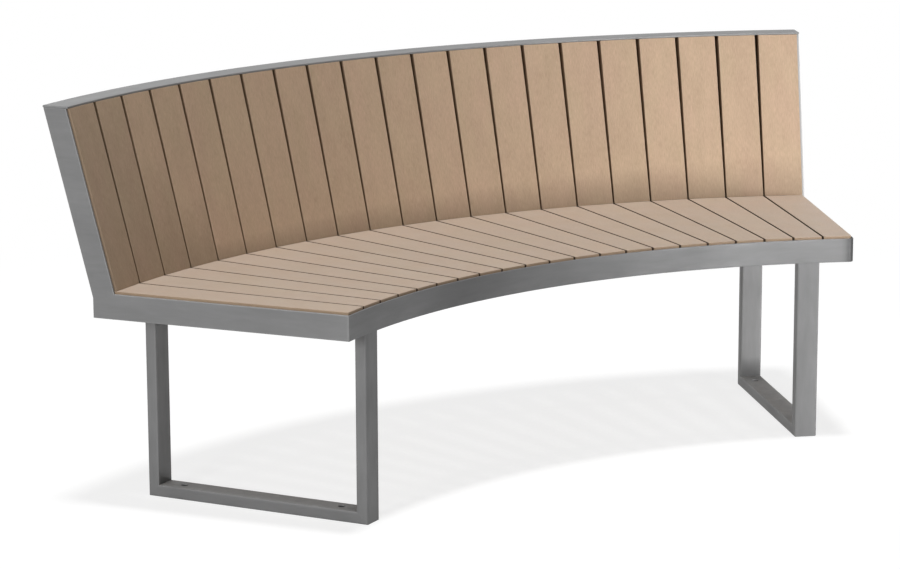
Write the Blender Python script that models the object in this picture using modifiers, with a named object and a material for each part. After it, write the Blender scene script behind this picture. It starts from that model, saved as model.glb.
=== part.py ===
"""Curved garden bench: seat planks and back boards laid round an arc of sixty degrees, in a steel frame.

Every arc shares one upright axis that stands in front of the bench. +Z is up, the bench faces -Y,
the origin is on the floor in the middle of the bench's outline, and all sizes are in metres.
"""
from math import acos, asin, cos, pi, radians, sin, tan

import bmesh
import bpy
from mathutils import Matrix, Vector

# Overall sizes
ARC_HALF_ANGLE = radians(30.0)
FRONT_RADIUS = 1.340
SEAT_FRAME_DEPTH = 0.574
BACK_FRAME_DEPTH = 0.0525
SEAT_HEIGHT = 0.450
OVERALL_HEIGHT = 0.8205
BACK_LEAN_ANGLE = radians(15.0)
ARC_STEPS_PER_PLANK = 2

# Seat planks and back boards
PLANK_COUNT = 21
SEAT_PLANK_THICKNESS = 0.030
BACK_BOARD_THICKNESS = 0.030
SEAT_PLANK_GAP = 0.0036
BACK_BOARD_GAP = 0.004
PLANK_PROUD = 0.0055
PLANK_SETBACK = 0.0035
PLANK_UNDERLAP = 0.020
PLANK_END_CLEARANCE = 0.001
PLANK_ARRIS = 0.0008

# Steel sheets and plates
FRAME_HEIGHT = 0.052
APRON_THICKNESS = 0.003
APRON_CORNER_RADIUS = 0.012
APRON_CORNER_STEPS = 8
APRON_RETURN = 0.020
END_PLATE_THICKNESS = 0.005
END_PLATE_SETBACK = 0.005
REAR_SHEET_THICKNESS = 0.003
REAR_STEP_HEIGHT = 0.041
TOP_RAIL_THICKNESS = 0.004
TOP_RAIL_OVERHANG = 0.0015

# Flat bars under the seat and behind the boards
RAIL_WIDTH = 0.040
RAIL_THICKNESS = 0.006
SEAT_RAIL_INSET = 0.080
BACK_RAIL_INSET = 0.090
SCREW_EDGE_DISTANCE = 0.0044
SCREW_HOLE_RADIUS = 0.003
SCREW_HOLE_SIDES = 8

# Ribs
RIB_THICKNESS = 0.005
RIB_RECESS = 0.002
RIB_PLANK_STEP = 3
RIB_PLANK_REACH = 6

# Leg loops, of mitred rectangular tube
LEG_PLANE_ANGLE = radians(26.75)
LEG_REAR_SETBACK = 0.0557
LEG_TUBE_WIDTH = 0.050
LEG_TUBE_DEPTH = 0.025
LEG_TUBE_WALL = 0.0025
LEG_TUBE_CORNER_RADIUS = 0.003
LEG_TUBE_CORNER_STEPS = 4
MITRE_ANGLE = radians(45.0)
ANCHOR_INSET = 0.072
ANCHOR_ACCESS_RADIUS = 0.008
ANCHOR_BOLT_RADIUS = 0.006
ANCHOR_HOLE_SIDES = 16

# Clearances
JOINT_GAP = 0.0003
CUT_OVERRUN = 0.010

# Radii and heights that follow
REAR_RADIUS = FRONT_RADIUS + SEAT_FRAME_DEPTH
JUNCTION_RADIUS = REAR_RADIUS - BACK_FRAME_DEPTH
CORNER_CENTRE_RADIUS = FRONT_RADIUS + APRON_CORNER_RADIUS
LEAN = tan(BACK_LEAN_ANGLE)
FRAME_TOP = SEAT_HEIGHT - PLANK_PROUD
FRAME_BOTTOM = FRAME_TOP - FRAME_HEIGHT
REAR_STEP = FRAME_BOTTOM + REAR_STEP_HEIGHT
STEEL_TOP = OVERALL_HEIGHT - TOP_RAIL_THICKNESS - JOINT_GAP
SEAT_RAIL_TOP = SEAT_HEIGHT - SEAT_PLANK_THICKNESS - JOINT_GAP
LEG_HEIGHT = SEAT_RAIL_TOP - RAIL_THICKNESS - JOINT_GAP
TOP_OUTER_RADIUS = REAR_RADIUS + (OVERALL_HEIGHT - REAR_STEP) * LEAN
AXIS = Vector((0.0, -(FRONT_RADIUS * cos(ARC_HALF_ANGLE) + TOP_OUTER_RADIUS) / 2, 0.0))
FRONT_SEAT_RAIL_RADIUS = FRONT_RADIUS + SEAT_RAIL_INSET
REAR_SEAT_RAIL_RADIUS = JUNCTION_RADIUS - SEAT_RAIL_INSET
LOWER_BACK_RAIL_HEIGHT = SEAT_HEIGHT + BACK_RAIL_INSET
UPPER_BACK_RAIL_HEIGHT = OVERALL_HEIGHT - BACK_RAIL_INSET

# Angles that follow
CORNER_ANGLE = ARC_HALF_ANGLE - asin(APRON_CORNER_RADIUS / CORNER_CENTRE_RADIUS)
PLANK_PITCH = 2 * (ARC_HALF_ANGLE - asin(END_PLATE_THICKNESS / JUNCTION_RADIUS)) / PLANK_COUNT
ARC_STEPS = PLANK_COUNT * ARC_STEPS_PER_PLANK

# From the middle of a rail's flat, one flat to a plank, out to the corner between two flats
TO_VERTEX = 1 / cos(PLANK_PITCH / 2)

# From a plank's middle line to its screws, near the edge of its narrow end
SCREW_OFFSET = FRONT_RADIUS * tan(PLANK_PITCH / 2) - SEAT_PLANK_GAP / 2 - SCREW_EDGE_DISTANCE

# Unit vectors in the plane of a radius, as (outwards, up): up the slope of the back, and behind it
UP_THE_SLOPE = Vector((sin(BACK_LEAN_ANGLE), cos(BACK_LEAN_ANGLE)))
BEHIND_THE_SLOPE = Vector((cos(BACK_LEAN_ANGLE), -sin(BACK_LEAN_ANGLE)))

# Looks, and the angle from which an edge is drawn sharp
WOOD_LOOK = {"Base Color": (0.45, 0.34, 0.25, 1.0), "Roughness": 0.65}
STEEL_LOOK = {"Base Color": (0.36, 0.36, 0.37, 1.0), "Roughness": 0.45, "Metallic": 0.8}
SHEET_SHARP_ANGLE = radians(13.0)
TUBE_SHARP_ANGLE = radians(30.0)


# Scene, collections and materials


def clear_scene():
    """Empty the scene that the script runs in."""
    for old in list(bpy.data.objects):
        bpy.data.objects.remove(old, do_unlink=True)


def new_collection(name):
    collection = bpy.data.collections.new(name)
    bpy.context.scene.collection.children.link(collection)
    return collection


def new_material(name, look):
    material = bpy.data.materials.new(name)
    material.use_nodes = True
    shader = material.node_tree.nodes["Principled BSDF"]
    for socket, value in look.items():
        shader.inputs[socket].default_value = value
    return material


def wood(name):
    return new_material(name, WOOD_LOOK)


def steel(name):
    return new_material(name, STEEL_LOOK)


# Places and outlines


def plan_point(radius, angle):
    """The point in plan at a radius from the axis, the angle turned from +Y towards +X."""
    return Vector((radius * sin(angle), radius * cos(angle)))


def plan_frame(angle, height):
    """Local +Y runs out along the radius at the angle, local +X along the arc, local +Z up."""
    return Matrix.Translation(AXIS + Vector((0.0, 0.0, height))) @ Matrix.Rotation(-angle, 4, "Z")


def radial_frame(angle):
    """Local +X runs out along the radius at the angle, local +Y up, local +Z along the arc."""
    outward = Vector((sin(angle), cos(angle), 0.0))
    along = Vector((cos(angle), -sin(angle), 0.0))
    turn = Matrix((outward, Vector((0.0, 0.0, 1.0)), along)).transposed()
    return Matrix.Translation(AXIS) @ turn.to_4x4()


def front_of_boards(height):
    """Radius of the back boards' front faces at a height."""
    return JUNCTION_RADIUS + (height - SEAT_HEIGHT) * LEAN


def back_of_boards(height):
    return front_of_boards(height) + BACK_BOARD_THICKNESS / cos(BACK_LEAN_ANGLE)


def rear_face(height):
    """Radius of the outside of the rear shell, upright up to the step and leaning above it."""
    return REAR_RADIUS + max(0.0, height - REAR_STEP) * LEAN


def behind_boards(height, up, depth):
    """A point a way up the slope from a height, and a depth behind the boards' back faces."""
    start = Vector((back_of_boards(height), height))
    return start + UP_THE_SLOPE * up + BEHIND_THE_SLOPE * depth


def inner_half_angle(radius):
    """Half of the arc that an inner piece can fill between the end plates at a radius."""
    return ARC_HALF_ANGLE - asin((END_PLATE_THICKNESS + JOINT_GAP) / radius)


def plank_angle(index):
    return (index - (PLANK_COUNT - 1) / 2) * PLANK_PITCH


def rectangle(left, right, low, high):
    return [(left, low), (right, low), (right, high), (left, high)]


# Ways to make a solid


def add_object(name, mesh, matrix, material, collection):
    piece = bpy.data.objects.new(name, mesh)
    collection.objects.link(piece)
    piece.matrix_world = matrix
    if material:
        mesh.materials.append(material)
    return piece


def as_cutter(name, mesh, matrix):
    """A shape that only takes from or adds to another, and isn't seen itself."""
    cutter = add_object(name, mesh, matrix, None, CUTTERS)
    cutter.hide_render = True
    cutter.display_type = "WIRE"
    return cutter


def shade_round(piece, sharp_angle):
    """Turn the piece's modifiers into mesh, smooth but for the edges that turn by more than the angle."""
    evaluated = piece.evaluated_get(bpy.context.evaluated_depsgraph_get())
    mesh = bpy.data.meshes.new_from_object(evaluated)
    mesh.name = piece.name
    piece.modifiers.clear()
    piece.data = mesh
    mesh.shade_smooth()
    mesh.set_sharp_from_angle(angle=sharp_angle)


def combine(piece, other, operation):
    boolean = piece.modifiers.new(other.name, "BOOLEAN")
    boolean.operation = operation
    boolean.object = other


def flat_mesh(name, outline, thickness):
    """A flat outline in local XY, half of the thickness above it and half below."""
    curve = bpy.data.curves.new(name, "CURVE")
    curve.dimensions = "2D"
    curve.fill_mode = "BOTH"
    curve.extrude = thickness / 2
    spline = curve.splines.new("POLY")
    spline.points.add(len(outline) - 1)
    for point, (x, y) in zip(spline.points, outline):
        point.co = (x, y, 0.0, 1.0)
    spline.use_cyclic_u = True
    holder = bpy.data.objects.new(name, curve)
    BENCH.objects.link(holder)
    evaluated = holder.evaluated_get(bpy.context.evaluated_depsgraph_get())
    mesh = bpy.data.meshes.new_from_object(evaluated)
    mesh.name = name
    bpy.data.objects.remove(holder)
    bpy.data.curves.remove(curve)
    shape = bmesh.new()
    shape.from_mesh(mesh)
    bmesh.ops.remove_doubles(shape, verts=shape.verts, dist=JOINT_GAP / 10)
    bmesh.ops.recalc_face_normals(shape, faces=shape.faces)
    shape.to_mesh(mesh)
    shape.free()
    return mesh


def turned_sheet(name, profile, thickness, steps):
    """A bent sheet or bar: its face line, as (radius, height) points, turned round the axis.

    The thickness goes to the right of the line as it is walked, seen with the axis on the left.
    """
    line = bpy.data.meshes.new(name)
    points = [(radius, 0.0, height) for radius, height in profile]
    edges = [(index, index + 1) for index in range(len(points) - 1)]
    line.from_pydata(points, edges, [])
    half_angle = inner_half_angle(min(radius for radius, height in profile))
    matrix = Matrix.Translation(AXIS) @ Matrix.Rotation(pi / 2 - half_angle, 4, "Z")
    piece = add_object(name, line, matrix, steel(name), BENCH)
    turn = piece.modifiers.new("turn", "SCREW")
    turn.axis = "Z"
    turn.angle = 2 * half_angle
    turn.steps = steps
    turn.render_steps = steps
    turn.use_smooth_shade = False
    solid = piece.modifiers.new("thickness", "SOLIDIFY")
    solid.thickness = thickness
    solid.offset = -1.0
    solid.use_even_offset = True
    return piece


def prisms(radius, sides, low, high, places):
    """A mesh with a prism along local Z at each place, from one height to the other."""
    shape = bmesh.new()
    centre = Matrix.Translation((0.0, 0.0, (low + high) / 2))
    for place in places:
        bmesh.ops.create_cone(
            shape, cap_ends=True, segments=sides, radius1=radius, radius2=radius,
            depth=high - low, matrix=place @ centre,
        )
    mesh = bpy.data.meshes.new("prisms")
    shape.to_mesh(mesh)
    shape.free()
    return mesh


# Seat planks and back boards


def side_point(side_angle, side_offset, index, distance):
    """Where a plank's side line crosses its end line, in the plank's own plan frame.

    The side line is parallel to the radius at side_angle, side_offset to its +X side, and the
    end line crosses the plank's own radius at the distance.
    """
    turn = side_angle - plank_angle(index)
    reach = (distance + side_offset * sin(turn)) / cos(turn)
    return (reach * sin(turn) + side_offset * cos(turn), distance)


def seat_plank_sides(index):
    """The left and the right side line of a plank, each an angle and an offset."""
    left = (plank_angle(index) - PLANK_PITCH / 2, SEAT_PLANK_GAP / 2)
    right = (plank_angle(index) + PLANK_PITCH / 2, -SEAT_PLANK_GAP / 2)
    if index == 0:
        left = (-ARC_HALF_ANGLE, END_PLATE_THICKNESS + PLANK_END_CLEARANCE)
    if index == PLANK_COUNT - 1:
        right = (ARC_HALF_ANGLE, -END_PLATE_THICKNESS - PLANK_END_CLEARANCE)
    return left, right


def rounded_corner(index):
    """The last plank's front corner, an arc about the centre of the apron's fold.

    It runs from the plank's front line to its side line, in the plank's own plan frame.
    """
    end_turn = ARC_HALF_ANGLE - plank_angle(index)
    centre = plan_point(CORNER_CENTRE_RADIUS, CORNER_ANGLE - plank_angle(index))
    radius = centre.y - FRONT_RADIUS - PLANK_SETBACK
    to_side = APRON_CORNER_RADIUS - END_PLATE_THICKNESS - PLANK_END_CLEARANCE
    first = -pi / 2
    last = -end_turn - acos(to_side / radius)
    turns = [first + (last - first) * step / APRON_CORNER_STEPS for step in range(APRON_CORNER_STEPS + 1)]
    return [(centre.x + radius * cos(turn), centre.y + radius * sin(turn)) for turn in turns]


def seat_plank(index):
    """A tapered plank whose top stands proud of the steel."""
    name = f"seat_plank_{index + 1:02d}"
    left, right = seat_plank_sides(index)
    front = FRONT_RADIUS + PLANK_SETBACK
    rear = JUNCTION_RADIUS + PLANK_UNDERLAP
    outline = [side_point(*left, index, front)]
    if index == PLANK_COUNT - 1:
        outline += rounded_corner(index)
    else:
        outline.append(side_point(*right, index, front))
    outline.append(side_point(*right, index, rear))
    outline.append(side_point(*left, index, rear))
    mesh = flat_mesh(name, outline, SEAT_PLANK_THICKNESS)
    matrix = plan_frame(plank_angle(index), SEAT_HEIGHT - SEAT_PLANK_THICKNESS / 2)
    soften(add_object(name, mesh, matrix, wood(name), BENCH))


def back_board(index):
    """A flat board of one width, cut level at both ends, leaning back."""
    name = f"back_board_{index + 1:02d}"
    low = SEAT_HEIGHT + JOINT_GAP
    outline = [
        (front_of_boards(low), low),
        (back_of_boards(low), low),
        (back_of_boards(STEEL_TOP), STEEL_TOP),
        (front_of_boards(STEEL_TOP), STEEL_TOP),
    ]
    width = 2 * JUNCTION_RADIUS * tan(PLANK_PITCH / 2) - BACK_BOARD_GAP
    mesh = flat_mesh(name, outline, width)
    soften(add_object(name, mesh, radial_frame(plank_angle(index)), wood(name), BENCH))


def soften(piece):
    """Take the sharp arrises off a plank."""
    bevel = piece.modifiers.new("arris", "BEVEL")
    bevel.width = PLANK_ARRIS
    bevel.segments = 1
    bevel.limit_method = "ANGLE"


# Steel skin


def apron_line(inset):
    """One face of the apron in plan: the front arc, the fold's quarter turn and the return."""
    sweep = CORNER_ANGLE + ARC_HALF_ANGLE
    points = [
        plan_point(FRONT_RADIUS + inset, sweep * step / ARC_STEPS - ARC_HALF_ANGLE)
        for step in range(ARC_STEPS + 1)
    ]
    centre = plan_point(CORNER_CENTRE_RADIUS, CORNER_ANGLE)
    radius = APRON_CORNER_RADIUS - inset
    first = -pi / 2 - CORNER_ANGLE
    last = -ARC_HALF_ANGLE
    for step in range(1, APRON_CORNER_STEPS + 1):
        turn = first + (last - first) * step / APRON_CORNER_STEPS
        points.append(centre + radius * Vector((cos(turn), sin(turn))))
    points.append(points[-1] + plan_point(APRON_RETURN, ARC_HALF_ANGLE))
    return points


def front_apron():
    """The band along the front edge, folded round the right front corner."""
    outline = apron_line(0.0) + apron_line(APRON_THICKNESS)[::-1]
    mesh = flat_mesh("front_apron", outline, FRAME_HEIGHT)
    matrix = plan_frame(0.0, FRAME_TOP - FRAME_HEIGHT / 2)
    apron = add_object("front_apron", mesh, matrix, steel("front_apron"), BENCH)
    shade_round(apron, SHEET_SHARP_ANGLE)


def end_plate(name, side, front):
    """L-shaped plate that closes one end, its outer face on the radius at the end of the arc."""
    setback = END_PLATE_SETBACK / cos(BACK_LEAN_ANGLE)
    outline = [
        (front, FRAME_BOTTOM),
        (REAR_RADIUS, FRAME_BOTTOM),
        (REAR_RADIUS, REAR_STEP),
        (rear_face(STEEL_TOP), STEEL_TOP),
        (front_of_boards(STEEL_TOP) + setback, STEEL_TOP),
        (front_of_boards(FRAME_TOP) + setback, FRAME_TOP),
        (front, FRAME_TOP),
    ]
    inset = Matrix.Translation((0.0, 0.0, -side * END_PLATE_THICKNESS / 2))
    matrix = radial_frame(side * ARC_HALF_ANGLE) @ inset
    mesh = flat_mesh(name, outline, END_PLATE_THICKNESS)
    add_object(name, mesh, matrix, steel(name), BENCH)


def end_plates():
    """The left plate starts behind the apron, the right one behind the apron's return."""
    fold_end = CORNER_CENTRE_RADIUS * cos(ARC_HALF_ANGLE - CORNER_ANGLE)
    end_plate("end_plate_left", -1, FRONT_RADIUS + APRON_THICKNESS + JOINT_GAP)
    end_plate("end_plate_right", 1, fold_end + APRON_RETURN + JOINT_GAP)


def top_rail():
    """Flat curved bar over the boards, out to the outer faces of the end plates."""
    inner = front_of_boards(OVERALL_HEIGHT) - TOP_RAIL_OVERHANG
    angles = [ARC_HALF_ANGLE * (2 * step / ARC_STEPS - 1) for step in range(ARC_STEPS + 1)]
    outline = [plan_point(inner, angle) for angle in angles]
    outline += [plan_point(TOP_OUTER_RADIUS, angle) for angle in reversed(angles)]
    mesh = flat_mesh("top_rail", outline, TOP_RAIL_THICKNESS)
    matrix = plan_frame(0.0, OVERALL_HEIGHT - TOP_RAIL_THICKNESS / 2)
    rail = add_object("top_rail", mesh, matrix, steel("top_rail"), BENCH)
    shade_round(rail, SHEET_SHARP_ANGLE)


def rear_shell():
    """Bent sheet: upright behind the seat frame, then leaning up to the top rail.

    Its top edge is square to the slope, so its inner corner is the higher one.
    """
    top = STEEL_TOP - REAR_SHEET_THICKNESS * sin(BACK_LEAN_ANGLE)
    profile = [(rear_face(top), top), (REAR_RADIUS, REAR_STEP), (REAR_RADIUS, FRAME_BOTTOM)]
    shell = turned_sheet("rear_shell", profile, REAR_SHEET_THICKNESS, ARC_STEPS)
    shade_round(shell, SHEET_SHARP_ANGLE)


# Rails and ribs


def screw_line(index):
    """Distance of a plank's screws from its middle line, always towards the bench's middle."""
    return SCREW_OFFSET if plank_angle(index) < 0 else -SCREW_OFFSET


def drill(rail, places):
    """Take the screws' clearance holes out of a rail."""
    holes = prisms(SCREW_HOLE_RADIUS, SCREW_HOLE_SIDES, -CUT_OVERRUN, CUT_OVERRUN, places)
    combine(rail, as_cutter(rail.name + "_holes", holes, Matrix.Identity(4)), "DIFFERENCE")


def seat_rail(name, radius):
    """Level bar on the leg loops, with a clearance hole for each plank's screw."""
    half = RAIL_WIDTH / 2
    profile = [(edge * TO_VERTEX, SEAT_RAIL_TOP) for edge in (radius - half, radius + half)]
    rail = turned_sheet(name, profile, RAIL_THICKNESS, PLANK_COUNT)
    places = [
        plan_frame(plank_angle(index), SEAT_RAIL_TOP) @ Matrix.Translation((screw_line(index), radius, 0.0))
        for index in range(PLANK_COUNT)
    ]
    drill(rail, places)
    return rail


def back_rail(name, height):
    """Leaning bar whose flats lie against the flat backs of the boards."""
    half = RAIL_WIDTH / 2
    face_line = [behind_boards(height, up, JOINT_GAP) for up in (-half, half)]
    profile = [(radius * TO_VERTEX, level) for radius, level in face_line]
    rail = turned_sheet(name, profile, RAIL_THICKNESS, PLANK_COUNT)
    radius, level = behind_boards(height, 0.0, JOINT_GAP)
    forwards = Matrix.Rotation(-pi / 2, 4, "Y") @ Matrix.Rotation(-BACK_LEAN_ANGLE, 4, "X")
    places = [
        radial_frame(plank_angle(index)) @ Matrix.Translation((radius, level, screw_line(index))) @ forwards
        for index in range(PLANK_COUNT)
    ]
    drill(rail, places)


def rib_outline():
    """L-shaped plate: level under the planks, leaning behind the boards, notched for three rails."""
    facet_sag = REAR_RADIUS * (1 - cos(ARC_HALF_ANGLE / ARC_STEPS))
    skin = REAR_SHEET_THICKNESS + JOINT_GAP + facet_sag
    low = FRAME_BOTTOM + RIB_RECESS
    high = SEAT_RAIL_TOP - RIB_RECESS
    front = FRONT_RADIUS + APRON_THICKNESS + JOINT_GAP
    bend = REAR_STEP + skin * tan(BACK_LEAN_ANGLE / 2)
    recess = RIB_RECESS / cos(BACK_LEAN_ANGLE)
    outline = [
        (front, low),
        (REAR_RADIUS - skin, low),
        (REAR_RADIUS - skin, bend),
        (rear_face(STEEL_TOP) - skin / cos(BACK_LEAN_ANGLE), STEEL_TOP),
        (back_of_boards(STEEL_TOP) + recess, STEEL_TOP),
    ]
    half = RAIL_WIDTH / 2 + JOINT_GAP
    floor = RAIL_THICKNESS + 2 * JOINT_GAP
    for height in (UPPER_BACK_RAIL_HEIGHT, LOWER_BACK_RAIL_HEIGHT):
        corners = ((half, RIB_RECESS), (half, floor), (-half, floor), (-half, RIB_RECESS))
        outline += [behind_boards(height, up, depth) for up, depth in corners]
    outline.append((back_of_boards(high) + recess, high))
    outline += [
        (FRONT_SEAT_RAIL_RADIUS + half, high),
        (FRONT_SEAT_RAIL_RADIUS + half, SEAT_RAIL_TOP - floor),
        (FRONT_SEAT_RAIL_RADIUS - half, SEAT_RAIL_TOP - floor),
        (FRONT_SEAT_RAIL_RADIUS - half, high),
        (front, high),
    ]
    return outline


def ribbed_rear_rail():
    """The rear seat rail with the ribs welded to it, at every third plank about the middle one."""
    rail = seat_rail("ribbed_rear_rail", REAR_SEAT_RAIL_RADIUS)
    mesh = flat_mesh("rib", rib_outline(), RIB_THICKNESS)
    for order in range(-RIB_PLANK_REACH, RIB_PLANK_REACH + 1, RIB_PLANK_STEP):
        rib = as_cutter(f"rib_{order}", mesh, radial_frame(order * PLANK_PITCH))
        combine(rail, rib, "UNION")


# Legs


def round_corners(tube, lengthwise):
    """Round the four long corners of a tube that runs along its local X or Y, index 0 or 1."""
    mesh = tube.data
    weights = mesh.attributes.new("bevel_weight_edge", "FLOAT", "EDGE")
    for edge, weight in zip(mesh.edges, weights.data):
        start, end = (mesh.vertices[corner].co for corner in edge.vertices)
        sideways = (end - start).length - abs((end - start)[lengthwise])
        weight.value = float(sideways < JOINT_GAP / 10)
    bevel = tube.modifiers.new("corners", "BEVEL")
    bevel.limit_method = "WEIGHT"
    bevel.width = LEG_TUBE_CORNER_RADIUS
    bevel.segments = LEG_TUBE_CORNER_STEPS


def leg_tube(name, outline, bore, lengthwise, matrix):
    """One mitred tube of a leg loop, open at both mitres."""
    tube = add_object(name, flat_mesh(name, outline, LEG_TUBE_WIDTH), matrix, steel(name), BENCH)
    round_corners(tube, lengthwise)
    hollow = flat_mesh(name + "_bore", bore, LEG_TUBE_WIDTH - 2 * LEG_TUBE_WALL)
    combine(tube, as_cutter(name + "_bore", hollow, matrix), "DIFFERENCE")
    return tube


def leg_loop(name, side):
    """A closed rectangle of tube that stands on its foot rail and holds up the seat rails."""
    inset = Matrix.Translation((0.0, 0.0, -side * LEG_TUBE_WIDTH / 2))
    matrix = radial_frame(side * LEG_PLANE_ANGLE) @ inset
    front = FRONT_RADIUS + APRON_THICKNESS + JOINT_GAP
    rear = REAR_RADIUS - LEG_REAR_SETBACK
    depth = LEG_TUBE_DEPTH
    wall = LEG_TUBE_WALL
    foot = [(front, 0.0), (rear, 0.0), (rear - depth, depth), (front + depth, depth)]
    head = [(x, LEG_HEIGHT - y) for x, y in foot]
    foot_bore = rectangle(front - CUT_OVERRUN, rear + CUT_OVERRUN, wall, depth - wall)
    head_bore = [(x, LEG_HEIGHT - y) for x, y in foot_bore]
    foot_rail = leg_tube(name + "_foot_rail", foot, foot_bore, 0, matrix)
    head_rail = leg_tube(name + "_head_rail", head, head_bore, 0, matrix)
    mitre_gap = JOINT_GAP / sin(MITRE_ANGLE)
    for label, outer, inner in (("front", front, front + depth), ("rear", rear, rear - depth)):
        upright = [
            (outer, mitre_gap),
            (inner, depth + mitre_gap),
            (inner, LEG_HEIGHT - depth - mitre_gap),
            (outer, LEG_HEIGHT - mitre_gap),
        ]
        low, high = sorted((outer, inner))
        bore = rectangle(low + wall, high - wall, -CUT_OVERRUN, LEG_HEIGHT + CUT_OVERRUN)
        tube = leg_tube(f"{name}_{label}_upright", upright, bore, 1, matrix)
        shade_round(tube, TUBE_SHARP_ANGLE)
    anchor_holes(foot_rail, matrix, (front + ANCHOR_INSET, rear - ANCHOR_INSET))
    shade_round(foot_rail, TUBE_SHARP_ANGLE)
    shade_round(head_rail, TUBE_SHARP_ANGLE)


def anchor_holes(foot_rail, matrix, distances):
    """In each place a wide hole for the socket through the top wall, and a bolt hole below it."""
    up = Matrix.Rotation(-pi / 2, 4, "X")
    places = [matrix @ Matrix.Translation((distance, 0.0, 0.0)) @ up for distance in distances]
    top = LEG_TUBE_DEPTH
    wall = LEG_TUBE_WALL
    wide = prisms(ANCHOR_ACCESS_RADIUS, ANCHOR_HOLE_SIDES, top - 2 * wall, top + CUT_OVERRUN, places)
    bolt = prisms(ANCHOR_BOLT_RADIUS, ANCHOR_HOLE_SIDES, -CUT_OVERRUN, 2 * wall, places)
    for label, mesh in (("_access_holes", wide), ("_bolt_holes", bolt)):
        combine(foot_rail, as_cutter(foot_rail.name + label, mesh, Matrix.Identity(4)), "DIFFERENCE")


clear_scene()
BENCH = new_collection("curved_garden_bench")
CUTTERS = new_collection("cutters")
for plank_index in range(PLANK_COUNT):
    seat_plank(plank_index)
    back_board(plank_index)
front_apron()
end_plates()
top_rail()
rear_shell()
seat_rail("seat_rail_front", FRONT_SEAT_RAIL_RADIUS)
ribbed_rear_rail()
back_rail("back_rail_lower", LOWER_BACK_RAIL_HEIGHT)
back_rail("back_rail_upper", UPPER_BACK_RAIL_HEIGHT)
leg_loop("leg_left", -1)
leg_loop("leg_right", 1)
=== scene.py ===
# %% [markdown]
# # A curved garden bench, dressed for its picture
#
# The bench is an arc of sixty degrees. Twenty-one tapered planks make the seat, twenty-one flat
# boards make the back, and a frame of satin steel closes both: a folded band in front, an
# L-shaped plate at each end, a bent sheet behind, a flat bar on top and two loops of tube below.
# This file takes the solids of the engineering model as a fixed frame, and lays finer surfaces
# over them, with their materials, the light and the camera. It reads as a lesson: each step says
# what the piece is on the real bench, how it could be made, and why this way was chosen.

import bmesh
import bpy
import numpy as np
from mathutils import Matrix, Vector


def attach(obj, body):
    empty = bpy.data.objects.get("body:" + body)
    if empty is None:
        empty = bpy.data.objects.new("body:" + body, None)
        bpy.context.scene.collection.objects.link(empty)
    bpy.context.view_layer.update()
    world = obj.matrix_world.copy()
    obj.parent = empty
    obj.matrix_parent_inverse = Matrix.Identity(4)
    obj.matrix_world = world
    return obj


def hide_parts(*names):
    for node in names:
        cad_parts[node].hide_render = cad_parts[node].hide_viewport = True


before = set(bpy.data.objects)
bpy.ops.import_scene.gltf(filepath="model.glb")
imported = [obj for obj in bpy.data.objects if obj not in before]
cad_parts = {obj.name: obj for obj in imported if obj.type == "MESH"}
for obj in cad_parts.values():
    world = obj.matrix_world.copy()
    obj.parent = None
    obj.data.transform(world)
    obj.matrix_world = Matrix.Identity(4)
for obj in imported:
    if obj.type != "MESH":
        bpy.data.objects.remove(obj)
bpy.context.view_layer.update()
print("nodes in the frame:", len(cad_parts))

# %% [markdown]
# ## The sizes of the bench
#
# Every arc of the bench shares one upright axis in front of it, so each piece is easiest to
# describe by a radius from that axis, an angle round it and a height. The sizes are those of the
# engineering model, in metres, written once here and used by every step below.

# %% Sizes in metres, angles in radians
HALF_ARC = np.radians(30.0)
FRONT_RADIUS, FRAME_DEPTH, BACK_FRAME_DEPTH = 1.340, 0.574, 0.0525
SEAT_HEIGHT, OVERALL_HEIGHT, LEAN = 0.450, 0.8205, np.radians(15.0)
PLANK_COUNT, PLANK_THICKNESS = 21, 0.030
SEAT_GAP, BACK_GAP, PLANK_PROUD, PLANK_SETBACK = 0.0036, 0.004, 0.0055, 0.0035
PLANK_UNDERLAP = 0.020
FRAME_HEIGHT, APRON_THICKNESS, FOLD_RADIUS, APRON_RETURN = 0.052, 0.003, 0.012, 0.020
PLATE_THICKNESS, PLATE_SETBACK, SHEET_THICKNESS, STEP_HEIGHT = 0.005, 0.005, 0.003, 0.041
BAR_THICKNESS, BAR_OVERHANG, GAP = 0.004, 0.0008, 0.0003
RAIL_THICKNESS, RAIL_INSET, BACK_RAIL_INSET = 0.006, 0.080, 0.090
LEG_ANGLE, LEG_SETBACK = np.radians(26.75), 0.0557
TUBE_WIDTH, TUBE_DEPTH, TUBE_WALL, TUBE_CORNER = 0.050, 0.025, 0.0025, 0.003
ANCHOR_INSET, ACCESS_RADIUS, BOLT_RADIUS, SCREW_EDGE = 0.072, 0.008, 0.006, 0.0044

REAR_RADIUS = FRONT_RADIUS + FRAME_DEPTH
JUNCTION_RADIUS = REAR_RADIUS - BACK_FRAME_DEPTH
FRAME_TOP = SEAT_HEIGHT - PLANK_PROUD
FRAME_BOTTOM = FRAME_TOP - FRAME_HEIGHT
STEP = FRAME_BOTTOM + STEP_HEIGHT
STEEL_TOP = OVERALL_HEIGHT - BAR_THICKNESS - GAP
RAIL_TOP = SEAT_HEIGHT - PLANK_THICKNESS - GAP
LEG_HEIGHT = RAIL_TOP - RAIL_THICKNESS - GAP
BAR_OUTER_RADIUS = REAR_RADIUS + (OVERALL_HEIGHT - STEP) * np.tan(LEAN)
AXIS_Y = -(FRONT_RADIUS * np.cos(HALF_ARC) + BAR_OUTER_RADIUS) / 2
PITCH = 2 * (HALF_ARC - np.arcsin(PLATE_THICKNESS / JUNCTION_RADIUS)) / PLANK_COUNT
FOLD_CENTRE_RADIUS = FRONT_RADIUS + FOLD_RADIUS
FOLD_ANGLE = HALF_ARC - np.arcsin(FOLD_RADIUS / FOLD_CENTRE_RADIUS)
plank_angles = (np.arange(PLANK_COUNT) - (PLANK_COUNT - 1) / 2) * PITCH
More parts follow.
